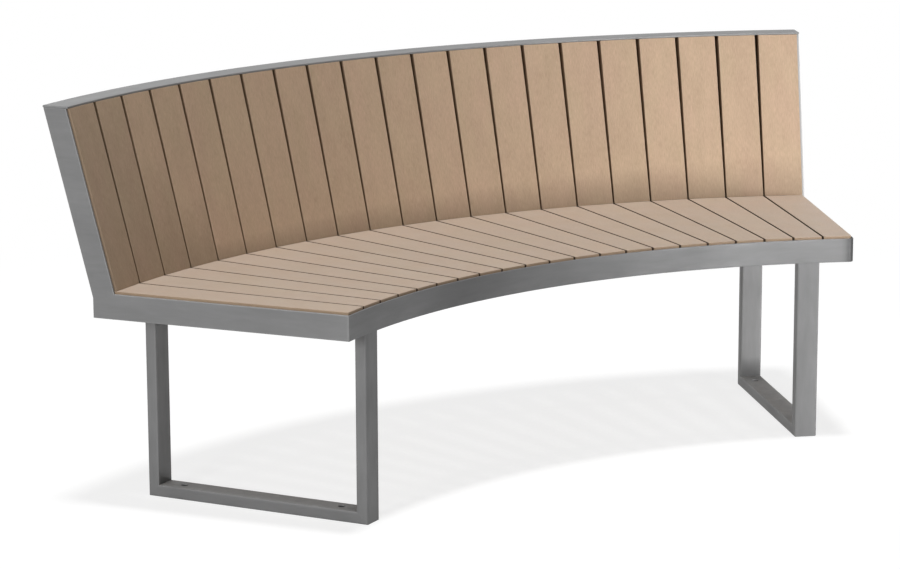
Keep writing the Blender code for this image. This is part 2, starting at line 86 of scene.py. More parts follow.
print("the arc's axis stands at y = %.4f m, one plank takes %.3f degrees" % (AXIS_Y, np.degrees(PITCH)))

# %% [markdown]
# ## Places round the axis
#
# A point of the bench could be typed as x, y and z, but then each number would hide an angle.
# A few small helpers turn a radius and an angle into places and directions, for whole arrays at
# once. `front_of_boards` and `rear_face` give the two slopes of the back at any height.

# %% Helpers for places and directions
UP = np.array([0.0, 0.0, 1.0])
AXIS_FOOT = np.array([0.0, AXIS_Y, 0.0])
ENDS = (("left", -1), ("right", 1))


def side_by_side(*numbers):
    """Places or directions from their numbers, all stretched over the same grid."""
    return np.stack(np.broadcast_arrays(*numbers), -1)


def outward(angle):
    """Unit vectors away from the axis: (sin angle, cos angle, 0)."""
    return side_by_side(np.sin(angle), np.cos(angle), 0.0)


def along_arc(angle):
    """Unit vectors along the arc towards the right end: outward, a quarter turn on."""
    return outward(np.asarray(angle, float) + np.pi / 2)


def around(radius, angle, height):
    """Places: the axis, plus the radius times the outward vector, plus the height upwards."""
    radius, height = (np.asarray(value, float)[..., None] for value in (radius, height))
    return AXIS_FOOT + outward(angle) * radius + UP * height


def laid_out(origin, numbers, *directions):
    """Places: the origin, plus each place's three numbers along the three directions."""
    return origin + sum(numbers[..., [axis]] * direction for axis, direction in enumerate(directions))


def unit(vectors):
    return vectors / np.linalg.norm(vectors, axis=-1, keepdims=True)


def circle(turns):
    """Places on a circle of radius one: (cos t, sin t)."""
    return side_by_side(np.cos(turns), np.sin(turns))


def quarter_right(directions):
    """Flat directions turned a quarter to the right: (x, y) becomes (y, -x)."""
    return directions[..., ::-1] * [1, -1]


def front_of_boards(height):
    return JUNCTION_RADIUS + (height - SEAT_HEIGHT) * np.tan(LEAN)


def rear_face(height):
    return REAR_RADIUS + np.maximum(0.0, height - STEP) * np.tan(LEAN)


top_corner = around(front_of_boards(STEEL_TOP), plank_angles[-1], STEEL_TOP)
print("the last board's top is at", np.round(top_corner, 3))

# %% [markdown]
# ## A grid of places becomes a mesh
#
# Every surface below is a function of two parameters, worked out on a grid: rows one way, columns
# the other. The faces are then always the same four neighbours, which is one array sum, and a
# closed loop only wraps the last column round to the first. Marks go with each place: how far it
# is along, across and deep in its own piece, so that grain and brushing follow the piece, whether
# it lies on an edge, where hands and cloths wear the finish, and whatever else a finish asks for.

# %% From grids to pieces
SAME_PLACE, SHARP_ANGLE = 1e-6, np.radians(50.0)


def grid_faces(rows, columns):
    """Quads of a grid whose columns close into a loop: (r, c), (r, c+1), (r+1, c+1), (r+1, c)."""
    r, c = np.meshgrid(np.arange(rows - 1), np.arange(columns), indexing="ij")
    right = (c + 1) % columns
    row, above = r * columns, (r + 1) * columns
    quads = np.stack([row + c, row + right, above + right, above + c], -1)
    return quads.reshape(-1, 4).tolist()


def capped_faces(rows, columns):
    """The quads of the grid, with one face closing the first row and one closing the last."""
    first = list(range(columns))
    last = list(range((rows - 1) * columns, rows * columns))
    return grid_faces(rows, columns) + [first[::-1], last]


def mark(mesh, name, values, domain="POINT"):
    """Store one value for each point or face, or a vector for `lengthwise`, over any older mark."""
    if name in mesh.attributes:
        mesh.attributes.remove(mesh.attributes[name])
    kind, slot = ("FLOAT_VECTOR", "vector") if name == "lengthwise" else ("FLOAT", "value")
    layer = mesh.attributes.new(name, kind, domain)
    layer.data.foreach_set(slot, np.ravel(values).astype(np.float32))


def shade_by_angle(mesh):
    """Shade all but the square edges smooth."""
    mesh.shade_smooth()
    mesh.set_sharp_from_angle(angle=SHARP_ANGLE)


def add_object(name, data):
    made = bpy.data.objects.new(name, data)
    bpy.context.scene.collection.objects.link(made)
    return made


def new_mesh(name, places, faces=None, **marks):
    """A capped grid, or other faces, welded and turned with all faces outwards.

    A mark may be one value for the whole piece, or one for each column or row of the grid.
    """
    shape = np.shape(places)
    faces = faces or capped_faces(*shape[:2])
    mesh = bpy.data.meshes.new(name)
    mesh.from_pydata(np.reshape(places, (-1, 3)).tolist(), [], faces)
    for label, values in marks.items():
        mark(mesh, label, np.broadcast_to(values, shape if label == "lengthwise" else shape[:2]))
    editor = bmesh.new()
    editor.from_mesh(mesh)
    bmesh.ops.remove_doubles(editor, verts=editor.verts, dist=SAME_PLACE)
    bmesh.ops.recalc_face_normals(editor, faces=editor.faces)
    editor.to_mesh(mesh)
    editor.free()
    shade_by_angle(mesh)
    return mesh


def add_piece(name, places, material, slot, *covers, **mesh_parts):
    """Make the piece, and hang it on the frame in place of the nodes that it covers."""
    piece = add_object(name, new_mesh(name, places, **mesh_parts))
    piece.data.materials.append(material)
    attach(piece, "root")
    if covers:
        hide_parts(*covers)
    return piece


print("a strip of 3 rows and 4 columns has", len(grid_faces(3, 4)), "faces")

# %% [markdown]
# ## Softened outlines
#
# A sawn plank and a cut plate look alike to a modeller: a flat outline with a thickness, whose
# arrises are eased a little. A Bevel modifier could ease them, but it knows nothing of the marks
# for grain and wear. Here the outline is walked once, with an arc at each corner, and every row of
# the grid is that outline drawn in by a little, at its own height. A second line close behind each
# arc keeps the flats flat when the shading is smooth.

# %% Outlines with eased corners
EASE_STEPS, EASE_STEP_LENGTH = 3, 0.002
SUPPORT, SUPPORT_SLACK, SIDE_SHARE, MIDDLE_SHARE = 0.0022, 1.02, 0.42, 0.2


def rectangle(near, far, low, high):
    """Four corners, anticlockwise from the near low one."""
    return [(near, low), (far, low), (far, high), (near, high)]


def eased_outline(corners, radii):
    """Walk a polygon anticlockwise: at each outward corner an arc, at an inward one its own point.

    Gives the places and, for each, its outward direction, its corner's mitre and its radius. An
    arc's point is its centre plus the radius times the direction, and the directions turn evenly
    from one side's normal to the next one's.
    """
    corners = np.asarray(corners, float)
    before = corners - np.roll(corners, 1, axis=0)
    after = np.roll(corners, -1, axis=0) - corners
    sides = np.linalg.norm([before, after], axis=-1).T
    rows = []
    radii = np.broadcast_to(radii, len(corners))
    for corner, come, leave, lengths, radius in zip(corners, unit(before), unit(after), sides, radii):
        first, last = quarter_right(come), quarter_right(leave)
        turn = np.arctan2(first[0] * last[1] - first[1] * last[0], first @ last)
        mitre = (first + last) / (1 + first @ last)
        if turn < 0:
            rows.append([*corner, *mitre, *mitre, radius])
            continue
        steps = max(EASE_STEPS, int(np.ceil(radius / EASE_STEP_LENGTH)))
        fan = circle(np.arctan2(first[1], first[0]) + turn * np.linspace(0, 1, steps + 1))
        arc = corner - radius * mitre + radius * fan
        bend = np.tan(turn / 2)
        room = SIDE_SHARE * lengths - radius * bend
        aside = np.minimum(SUPPORT_SLACK * SUPPORT * max(1.0, bend), room)
        rows.append([*(arc[0] - come * aside[0]), *first, *first, radius])
        rows.extend([*place, *direction, *mitre, radius] for place, direction in zip(arc, fan))
        rows.append([*(arc[-1] + leave * aside[1]), *last, *last, radius])
    table = np.array(rows)
    return table[:, :2], table[:, 2:4], table[:, 4:6], table[:, 6:]


def eased_profile(thickness, radius):
    """Rows over the thickness: how far the outline is drawn in, the height, the edge and side marks.

    The edge mark is 1 on the rounded arris, and the side mark grows from 0 on the flat to 1 on the
    cut side as the sine of the arris's turn.
    """
    turns = np.radians(np.linspace(0, 90, EASE_STEPS + 1))
    half = thickness / 2
    drawn_in, height = radius * (1 - np.sin(turns)), -half + radius * (1 - np.cos(turns))
    quarter = side_by_side(drawn_in, height, 1.0, np.sin(turns))
    flat_row = [radius + SUPPORT, -half, 0, 0]
    side_row = [0, min(-half + radius + SUPPORT, -half * MIDDLE_SHARE), 0, 1]
    lower = np.vstack([flat_row, quarter, side_row])
    return np.vstack([lower, lower[::-1] * [1, -1, 1, 1]])


def softened_prism(corners, radii, thickness, ease):
    """Grid of a flat piece, its edge and side marks, and its outline's outward directions.

    Drawn in by less than its radius a corner's arc shrinks along its own directions, and what is
    left of the drawing in moves the whole corner along its mitre.
    """
    outline, normals, mitres, reach = eased_outline(corners, radii)
    drawn_in, height, edge, side = np.split(eased_profile(thickness, ease), 4, axis=1)
    within = np.minimum(drawn_in[:, None], reach)
    flat = outline - normals * within - mitres * (drawn_in[:, None] - within)
    return side_by_side(flat[..., 0], flat[..., 1], height), edge, side, normals


square = eased_outline(rectangle(0, 1, 0, 1), 0.01)[0]
print("a square with eased corners has", len(square), "points")

# %% [markdown]
# ## Groups for the finishes
#
# Wood and steel share four effects: streaks that run along a piece, soft clouds of tone, wear on
# the edges and settled dust. Each is built once as a node group with named sockets, and every
# material places it with its own values. Their Place is the `lengthwise` mark, whose first number
# runs along the piece, so a streak follows a plank or a band even where it curves.

# %% Node helpers
def plug(socket, value):
    """Link another node's socket to this one, or give this one a plain value."""
    if hasattr(value, "is_output"):
        socket.id_data.links.new(value, socket)
    else:
        socket.default_value = value


def node(tree, kind, **settings):
    """A new node; each setting is one of its options or, by name, one of its inputs."""
    made = tree.nodes.new(kind)
    for name, value in settings.items():
        if name in made.inputs:
            plug(made.inputs[name], value)
        else:
            setattr(made, name, value)
    return made


def feed(made, *values):
    """Plug values into a node's inputs in their order, and give its first output."""
    for socket, value in zip(made.inputs, values):
        plug(socket, value)
    return made.outputs[0]


def maths(operation, first, *others, clamp=False):
    """Math nodes in a chain, so that a sum may have many terms; each is a socket or a number."""
    tree = next(value.id_data for value in (first, *others) if hasattr(value, "is_output"))
    for order, other in enumerate(others, 1):
        last = clamp and order == len(others)
        first = feed(node(tree, "ShaderNodeMath", operation=operation, use_clamp=last), first, other)
    return first


def stretched(place, factors):
    """A place whose three numbers are each multiplied by a factor of their own."""
    return feed(node(place.id_data, "ShaderNodeVectorMath", operation="MULTIPLY"), place, factors)


def new_group(name, result, **numbers):
    """A node group with a Place, named numbers with defaults, and one named result."""
    group = bpy.data.node_groups.new(name, "ShaderNodeTree")
    group.interface.new_socket("Place", in_out="INPUT", socket_type="NodeSocketVector")
    for label, value in numbers.items():
        socket = group.interface.new_socket(label, in_out="INPUT", socket_type="NodeSocketFloat")
        socket.default_value = value
    group.interface.new_socket(result, in_out="OUTPUT", socket_type="NodeSocketFloat")
    print("group", name, "takes a place and", list(numbers))
    return group, group.nodes.new("NodeGroupInput").outputs, group.nodes.new("NodeGroupOutput").inputs[result]


# %% [markdown]
# ### Streaks
#
# Grain in a plank and the fine lines of brushed steel are the same pattern at two scales: noise
# that is stretched along the piece. Stretching is a multiplication of the place, so the group
# takes the length and the width of a streak and divides by them.

# %% Streaks group
streaks, taken, given = new_group("streaks", "Streak", Length=0.05, Width=0.001)
along, across = (maths("DIVIDE", 1.0, taken[size]) for size in ("Length", "Width"))
factors = feed(node(streaks, "ShaderNodeCombineXYZ"), along, across, across)
noise = node(streaks, "ShaderNodeTexNoise", Scale=1.0, Detail=3.0, Roughness=0.6, Distortion=0.35)
plug(noise.inputs["Vector"], stretched(taken["Place"], factors))
plug(given, noise.outputs[0])

# %% [markdown]
# ### Clouds
#
# Satin steel never mirrors evenly, and a plank is never one tone: both show soft patches a hand
# wide, longer than they are high. The group puts out a value round one half, and the Contrast says
# how far it strays from there.

# %% Clouds group
CLOUD_STRETCH = (1.0, 2.2, 2.2)


def swing(value, amount):
    """A pattern round one half becomes one round nought, as strong as the amount."""
    return maths("MULTIPLY", maths("SUBTRACT", value, 0.5), amount)


def noise_patches(place, size, detail, roughness):
    """Noise whose patches are about as wide as the size, in metres."""
    made = node(place.id_data, "ShaderNodeTexNoise", Vector=place, Detail=detail, Roughness=roughness)
    plug(made.inputs["Scale"], maths("DIVIDE", 1.0, size))
    return made.outputs[0]


clouds, taken, given = new_group("clouds", "Cloud", Size=0.15, Contrast=1.0)
place = stretched(taken["Place"], CLOUD_STRETCH)
spread = swing(noise_patches(place, taken["Size"], 2.0, 0.45), taken["Contrast"])
plug(given, maths("ADD", spread, 0.5, clamp=True))

# %% [markdown]
# ### Edge wear
#
# An eased edge is rubbed first. The pieces carry an `edge` mark from the step that eased them; the
# group breaks it up with a little noise, so the wear comes and goes as it does in use.

# %% Edge wear group
def mark_value(tree, name):
    """The value that the pieces carry under this mark."""
    return node(tree, "ShaderNodeAttribute", attribute_name=name).outputs["Fac"]


edge_wear, taken, given = new_group("edge wear", "Wear", Patch=0.02, Amount=0.5)
noise = noise_patches(taken["Place"], taken["Patch"], 3.0, 0.6)
plug(given, maths("MULTIPLY", mark_value(edge_wear, "edge"), noise, taken["Amount"], clamp=True))

# %% [markdown]
# ### Dust and painted top light
#
# Whatever faces the sky goes pale, wood and steel alike, partly with dust and weather and partly
# with painted light: a sheen on the seat and light from above on the tubes' tops. The upward
# part of the surface's direction, squared, keeps it off the leaning boards, and noise lets it lie
# unevenly.

# %% Dust and painted top light group
dust_and_light_group, taken, given = new_group("settled dust", "Dust and light", Patch=0.06, Amount=0.3)
normal = node(dust_and_light_group, "ShaderNodeNewGeometry").outputs["Normal"]
facing = node(dust_and_light_group, "ShaderNodeSeparateXYZ", Vector=normal).outputs["Z"]
upward = maths("POWER", maths("MAXIMUM", facing, 0.0), 2.0)
uneven = maths("ADD", noise_patches(taken["Place"], taken["Patch"], 4.0, 0.65), 0.5)
plug(given, maths("MULTIPLY", upward, uneven, taken["Amount"], clamp=True))

# %% [markdown]
# ## Plank wood
#
# The planks are a warm brown wood composite, sawn and brushed: a fine short grain runs along each
# plank, the tone drifts slowly between rosy and yellowish brown, and no two planks are quite
# alike. A picture of wood would repeat; noise in the plank's own directions doesn't, because each
# plank's `lengthwise` mark starts at a place of its own. The sawn sides are darker than the
# brushed faces, and painted shade darkens them further in the gaps (mark `side`). Painted shade
# also darkens the boards towards the seat (mark `foot`), and the tops go paler with dust and a
# painted sheen.

# %% Plank wood material
def use_group(group, place, **values):
    """Place a group with its own values, and give its result."""
    return node(place.id_data, "ShaderNodeGroup", node_tree=group, Place=place, **values).outputs[0]


def mixed(factor, first, second, blend="MIX"):
    """A Mix node for colours; the factor is a socket, a colour a socket or a tuple."""
    made = node(factor.id_data, "ShaderNodeMix", data_type="RGBA", blend_type=blend)
    for socket, value in zip((made.inputs[0], made.inputs[6], made.inputs[7]), (factor, first, second)):
        plug(socket, value)
    return made.outputs[2]


def remapped(value, low, high):
    """Map a value from 0 to 1 onto low to high."""
    return maths("ADD", maths("MULTIPLY", value, high - low), low)


def new_material(name, roughness, metallic):
    """An empty material: its tree, its shader's inputs and the place that its patterns read."""
    material = bpy.data.materials.new(name)
    material.use_nodes = True
    tree = material.node_tree
    shader = tree.nodes["Principled BSDF"].inputs
    shader["Roughness"].default_value = roughness
    shader["Metallic"].default_value = metallic
    place = node(tree, "ShaderNodeAttribute", attribute_name="lengthwise").outputs["Vector"]
    return material, tree, shader, place


def bump(shader, height, distance, strength):
    made = node(height.id_data, "ShaderNodeBump", Strength=strength, Distance=distance, Height=height)
    plug(shader["Normal"], made.outputs[0])


WOOD_PALE, WOOD_DARK, WOOD_SAWN_AND_GAP_SHADE = (0.610, 0.445, 0.298, 1), (0.440, 0.313, 0.202, 1), (0.120, 0.078, 0.048, 1)
ROSY, DUST_AND_SHEEN, FOOT_SHADE = (1.015, 0.975, 1.01, 1), (0.575, 0.500, 0.440, 1), (0.65, 0.65, 0.64, 1)
plank_wood, tree, shader, place = new_material("plank_wood", 0.62, 0.0)
fine = use_group(streaks, place, Length=0.013, Width=0.0015)
broad = use_group(streaks, place, Length=0.22, Width=0.011)
patch = use_group(clouds, place, Size=0.060, Contrast=1.0)
drift = use_group(clouds, place, Size=0.14, Contrast=2.6)
patterns = (swing(fine, 1.9), swing(broad, 0.35), swing(patch, 0.60), mark_value(tree, "tone"))
colour = mixed(maths("ADD", *patterns, 0.5, clamp=True), WOOD_DARK, WOOD_PALE)
colour = mixed(drift, colour, ROSY, "MULTIPLY")
# Sawn sides are darker, and painted shade darkens them further in the gaps (mark `side`).
colour = mixed(mark_value(tree, "side"), colour, WOOD_SAWN_AND_GAP_SHADE)
# Painted shade: the boards go darker towards their foot, where they meet the seat (mark `foot`).
near_seat = maths("SUBTRACT", 1.0, mark_value(tree, "foot"), clamp=True)
colour = mixed(near_seat, colour, FOOT_SHADE, "MULTIPLY")
rubbed = use_group(edge_wear, place, Patch=0.03, Amount=0.35)
colour = mixed(rubbed, colour, WOOD_PALE)
# Upward faces go paler with dust and a painted sheen.
dust_and_light = use_group(dust_and_light_group, place, Patch=0.05, Amount=0.50)
plug(shader["Base Color"], mixed(dust_and_light, colour, DUST_AND_SHEEN))
plug(shader["Roughness"], remapped(fine, 0.70, 0.54))
bump(shader, fine, 0.0004, 0.35)
shader["Specular IOR Level"].default_value = 0.45
print("plank wood has", len(tree.nodes), "nodes")

# %% [markdown]
# ## Satin steel
#
# The frame is stainless steel with a satin finish: a quiet grey with soft level bands, brushed
# lines too fine to count from a step away, and rubbed edges a little brighter. Cut sides are
# brighter too, as bare steel with a painted highlight (mark `side`), and painted shade darkens
# places where little light comes (mark `shade`). Dust lies on top; where it lies the steel is matt
# and paler, partly as painted light from above. One function builds it, and each kind of part
# takes its own length of line, size of cloud, dust with painted light, and wear.

# %% Satin steel materials
STEEL_PALE, STEEL_DARK, STEEL_CUT_AND_HIGHLIGHT = (0.256, 0.256, 0.257, 1), (0.210, 0.210, 0.211, 1), (0.48, 0.48, 0.48, 1)
STEEL_SHADED, STEEL_DUST_AND_LIGHT, STEEL_TINT = (0.070, 0.070, 0.071, 1), (0.57, 0.57, 0.57, 1), (0.6, 0.6, 0.6, 1)
STEEL_ROUGHNESS, ROUGHNESS_SWING, DUST_ROUGHNESS, STEEL_METALLIC = 0.52, 0.06, 0.95, 0.45


def satin_steel(name, line_length, cloud_size, dust_and_light_amount=0.15, wear=0.35):
    """Steel whose clouds shift its grey and its roughness, with brushed lines as a fine bump.

    Where the dust lies thicker the metal's own reflection goes, and the grey goes paler,
    partly as painted light from above.
    """
    material, tree, shader, place = new_material(name, STEEL_ROUGHNESS, STEEL_METALLIC)
    cloud = use_group(clouds, place, Size=cloud_size, Contrast=1.0)
    band = use_group(streaks, place, Length=0.09, Width=0.014)
    line = use_group(streaks, place, Length=line_length, Width=0.0006)
    shift = maths("ADD", swing(cloud, 1.0), swing(band, 1.1), swing(line, 0.15), 0.5, clamp=True)
    grey = mixed(shift, STEEL_DARK, STEEL_PALE)
    # Painted shade: the mark `shade` darkens the grey where little light comes.
    grey = mixed(mark_value(tree, "shade"), grey, STEEL_SHADED)
    rubbed = use_group(edge_wear, place, Patch=0.015, Amount=wear)
    # Cut sides and rubbed edges go brighter: bare steel, and on cut sides a painted highlight too.
    bright = maths("MAXIMUM", rubbed, maths("MULTIPLY", mark_value(tree, "side"), 0.8))
    grey = mixed(bright, grey, STEEL_CUT_AND_HIGHLIGHT)
    # Upward faces go paler and matt, with dust and painted light from above.
    dust_and_light = use_group(dust_and_light_group, place, Patch=0.03, Amount=dust_and_light_amount)
    plug(shader["Base Color"], mixed(dust_and_light, grey, STEEL_DUST_AND_LIGHT))
    satin = remapped(shift, STEEL_ROUGHNESS + ROUGHNESS_SWING, STEEL_ROUGHNESS - ROUGHNESS_SWING)
    matt = maths("MULTIPLY", dust_and_light, DUST_ROUGHNESS - STEEL_ROUGHNESS)
    plug(shader["Roughness"], maths("ADD", satin, matt, clamp=True))
    plug(shader["Metallic"], remapped(dust_and_light, STEEL_METALLIC, 0.0))
    bump(shader, line, 0.0002, 0.15)
    shader["Specular IOR Level"].default_value = 0.20
    shader["Specular Tint"].default_value = STEEL_TINT
    return material


sheet_steel = satin_steel("sheet_steel", 0.08, 0.16)
# The tubes' tops go much paler: dust, and painted light on the rails under the seat.
tube_steel = satin_steel("tube_steel", 0.10, 0.09, dust_and_light_amount=0.85, wear=0.08)
print("steel finishes:", sheet_steel.name, tube_steel.name)

# %% [markdown]
# ## Seat planks
#
# Each seat plank is a board that tapers towards the front, because its two long sides lie along
# radii while it stays flat. Its end lines are straight and square to its own middle line, so the
# front of the seat is really a chain of short straight cuts just behind the curved band. The two
# outer planks are narrower on the side where an end plate stands, and the right one has its front
# corner rounded inside the fold of the band.

# %% Seat plank outlines
PLANK_EASE, PLANK_SHRINK = 0.0006, 0.0006


def side_crossing(side_angle, side_offset, index, distance):
    """Where a side line, parallel to a radius, crosses the plank's end line at a distance.

    With t the turn from the plank's own radius, the reach along the side line is
    (distance + offset sin t) / cos t, and the crossing is reach sin t + offset cos t across.
    """
    turn = side_angle - plank_angles[index]
    reach = (distance + side_offset * np.sin(turn)) / np.cos(turn)
    return (reach * np.sin(turn) + side_offset * np.cos(turn), distance)


def seat_plank_corners(index):
    """The four corners, anticlockwise from the left front one, and the radius of each."""
    end_room = PLATE_THICKNESS + GAP
    left = (plank_angles[index] - PITCH / 2, SEAT_GAP / 2 + PLANK_SHRINK)
    right = (plank_angles[index] + PITCH / 2, -SEAT_GAP / 2 - PLANK_SHRINK)
    left = (-HALF_ARC, end_room) if index == 0 else left
    right = (HALF_ARC, -end_room) if index == PLANK_COUNT - 1 else right
    front, rear = FRONT_RADIUS + PLANK_SETBACK, JUNCTION_RADIUS + PLANK_UNDERLAP
    ends = ((left, front), (right, front), (right, rear), (left, rear))
    corners = [side_crossing(*side, index, distance) for side, distance in ends]
    radii = [PLANK_EASE] * 4
    if index == PLANK_COUNT - 1:
        radii[1] = FOLD_RADIUS - PLANK_SETBACK
    return corners, radii


print("the first plank's corners:", np.round(seat_plank_corners(0)[0], 3).tolist())

# %% [markdown]
# The gaps between the planks look dark: the sides are sawn, and painted shade darkens them
# where little light gets in, so the mark `side` is strong there and weaker on the sides that lie
# open. Every piece of wood starts its grain somewhere else and has a tone of its own.

# %% Seat planks
# The sawn darkening of the open sides, and how strongly painted shade darkens the seat's gaps.
OPEN_SIDE, SEAT_GAP_SIDE, FACING_SIDEWAYS, MARK_MARGIN = 0.36, 1.0, 0.5, 0.01
SEAT_GRAIN_STEP, TONE_SPREAD = np.array([0.73, 0.31, 0.0]), 0.10
rng = np.random.default_rng(21)
tones = rng.uniform(-TONE_SPREAD, TONE_SPREAD, (2, PLANK_COUNT))


def darkened_sides(side, normals, index, gap_side):
    """The side mark: sawn sides, strong as painted shade in the gaps, weaker on the ends and open sides."""
    in_gap = np.abs(normals[:, 0]) > FACING_SIDEWAYS
    if index == 0:
        in_gap &= normals[:, 0] > 0
    if index == PLANK_COUNT - 1:
        in_gap &= normals[:, 0] < 0
    return np.where(in_gap, gap_side * np.sqrt(side), OPEN_SIDE * side)


def add_wood(name, covers, index, places, local, grain_start, tone, **marks):
    """One plank or board, with its grain along its own length and one tone all over."""
    order = f"_{index + 1:02d}"
    return add_piece(
        name + order, places, plank_wood, "wood", covers + order,
        lengthwise=local[..., [1, 0, 2]] + grain_start, tone=tone, **marks,
    )


middle_height = SEAT_HEIGHT - PLANK_THICKNESS / 2
for index, angle in enumerate(plank_angles):
    grid, edge, side, normals = softened_prism(*seat_plank_corners(index), PLANK_THICKNESS, PLANK_EASE)
    side = darkened_sides(side, normals, index, SEAT_GAP_SIDE)
    edge = edge * (side < OPEN_SIDE + MARK_MARGIN)
    places = laid_out(AXIS_FOOT + middle_height * UP, grid, along_arc(angle), outward(angle), UP)
    piece = add_wood(
        "seat_wood", "seat_plank", index, places, grid, index * SEAT_GRAIN_STEP, tones[0, index],
        edge=edge, side=side, foot=1.0,
    )
print("a seat plank has", len(piece.data.vertices), "points")

# %% [markdown]
# ## Back boards
#
# The back boards are all alike: flat, of one width, leaning back by fifteen degrees, with their
# ends cut level. Because they don't taper while the back flares out, the gaps between them widen
# towards the top; only the first and the last one are cut to follow their end plates. Painted
# shade darkens the foot of the boards and reaches higher towards the right end; it dims the first
# few boards all over, and the gaps of the boards on the left are painted less dark. A board is
# drawn square in its own plane and then sheared, so that both ends come out level: a point that
# is deeper behind the face slides up the slope by its depth times the tangent of the lean.

# %% Back boards
BOARD_WIDTH = 2 * JUNCTION_RADIUS * np.tan(PITCH / 2) - BACK_GAP
# Painted shade: how high it reaches at the foot of the listed boards, and how dark the gaps are.
SHADE_BOARDS, SHADE_HEIGHT, END_CLEARANCE = (0, 2, 4, 20), (0.90, 0.25, 0.038, 0.095), 0.0005
GAP_BOARDS, BACK_GAP_SIDE = (0, 9), (0.17, 0.50)
BACK_GRAIN_START, BACK_GRAIN_STEP = np.array([0.0, 7.0, 0.0]), np.array([0.57, 0.43, 0.0])


def leaning(angle):
    """Unit vectors up the slope of the back, and behind it, square to the boards' faces."""
    out = outward(angle)
    return out * np.sin(LEAN) + UP * np.cos(LEAN), out * np.cos(LEAN) - UP * np.sin(LEAN)


board_foot = SEAT_HEIGHT + GAP
board_length = (STEEL_TOP - board_foot) / np.cos(LEAN)
half = BOARD_WIDTH / 2
plate_turn = HALF_ARC - plank_angles[-1]
end_radii = front_of_boards(board_foot) + np.array([0.0, board_length]) * np.sin(LEAN)
plate_room = (end_radii * np.sin(plate_turn) - PLATE_THICKNESS - END_CLEARANCE) / np.cos(plate_turn)
for index, angle in enumerate(plank_angles):
    left = plate_room if index == 0 else (half, half)
    right = plate_room if index == PLANK_COUNT - 1 else (half, half)
    corners = [(-left[0], 0.0), (right[0], 0.0), (right[1], board_length), (-left[1], board_length)]
    grid, edge, side, normals = softened_prism(corners, PLANK_EASE, PLANK_THICKNESS, PLANK_EASE)
    side = darkened_sides(side, normals, index, np.interp(index, GAP_BOARDS, BACK_GAP_SIDE))
    foot = grid[..., 1] / np.interp(index, SHADE_BOARDS, SHADE_HEIGHT)
    sheared = grid + [0.0, 0.0, PLANK_THICKNESS / 2]
    sheared[..., 1] += sheared[..., 2] * np.tan(LEAN)
    origin = around(front_of_boards(board_foot), angle, board_foot)
    places = laid_out(origin, sheared, along_arc(angle), *leaning(angle))
    grain_start = BACK_GRAIN_START + index * BACK_GRAIN_STEP
    add_wood(
        "back_wood", "back_board", index, places, grid, grain_start, tones[1, index],
        edge=edge, side=side, foot=foot,
    )
print("a back board is %.1f mm wide and %.1f mm long" % (BOARD_WIDTH * 1000, board_length * 1000))

# %% [markdown]
# ## A profile carried along a line
#
# The band in front, the sheet behind and the bar on top are long pieces of one section. Lofting
# them by hand would take many cuts; carrying the section along a line takes one sum: the line's
# place, plus the section's depth along the line's inward direction, plus its height upwards.

# %% Carried profiles
ARC_POINTS, ON_A_FLAT = 169, 1e-6


def eased_rectangle(near, far, low, high, ease):
    """An eased rectangle's places, with edge marks on its arcs."""
    section, normals = eased_outline(rectangle(near, far, low, high), ease)[:2]
    return section, (np.abs(normals[:, 0] * normals[:, 1]) > ON_A_FLAT).astype(float)


def distance_along(line):
    """Metres walked along the line to each of its points."""
    steps = np.linalg.norm(np.diff(line, axis=0), axis=1)
    return np.concatenate([[0.0], np.cumsum(steps)])


def add_carried(name, covers, line, inward, section, edge, grain_start, **marks):
    """One piece: line(u) + depth(v) inward(u) + height(v) up, with marks that follow it."""
    depth, height = section.T
    places = line[:, None] + depth[:, None] * inward[:, None] + height[:, None] * UP
    lengthwise = side_by_side(distance_along(line)[:, None], height, depth) + grain_start
    add_piece(name, places, sheet_steel, "steel", covers, edge=edge, lengthwise=lengthwise, **marks)


print("an eased rectangle has", len(eased_rectangle(0.0, 0.02, 0.0, 0.02, 0.001)[0]), "points")

# %% [markdown]
# ## Front band
#
# The steel band follows the front arc at a constant radius. At the right end it is folded round
# the corner with a radius of twelve millimetres and runs back a little way before it meets the
# end plate; at the left end it stops flush, and the plate makes a crisp crease with it. So its
# line is an arc, a quarter turn and a short straight run, joined end to end. Painted shade darkens
# the band towards the fold and a little left of its middle; the mark `shade` says where.

# %% Front band
FOLD_POINTS, RUN_POINTS, BAND_EASE = 13, 2, 0.0006
FLAT_SHADE, FOLD_SHADE = 0.65, 1.0
DIP_SHADE, DIP_ANGLE, DIP_WIDTH = 0.33, np.radians(-11.0), np.radians(6.5)
arc = np.linspace(-HALF_ARC, FOLD_ANGLE, ARC_POINTS)
fold = np.linspace(0.0, np.pi / 2 - (HALF_ARC - FOLD_ANGLE), FOLD_POINTS)[1:]
fold_direction = outward(FOLD_ANGLE) * np.cos(fold)[:, None] - along_arc(FOLD_ANGLE) * np.sin(fold)[:, None]
fold_line = around(FOLD_CENTRE_RADIUS, FOLD_ANGLE, 0.0) - FOLD_RADIUS * fold_direction
run = np.linspace(0.0, APRON_RETURN, RUN_POINTS + 1)[1:, None] * outward(HALF_ARC)
band_line = np.vstack([around(FRONT_RADIUS, arc, 0.0), fold_line, fold_line[-1] + run])
band_line = band_line + UP * (FRAME_TOP - FRAME_HEIGHT / 2)
band_inward = np.vstack([outward(arc), fold_direction, np.repeat(fold_direction[-1:], RUN_POINTS, axis=0)])
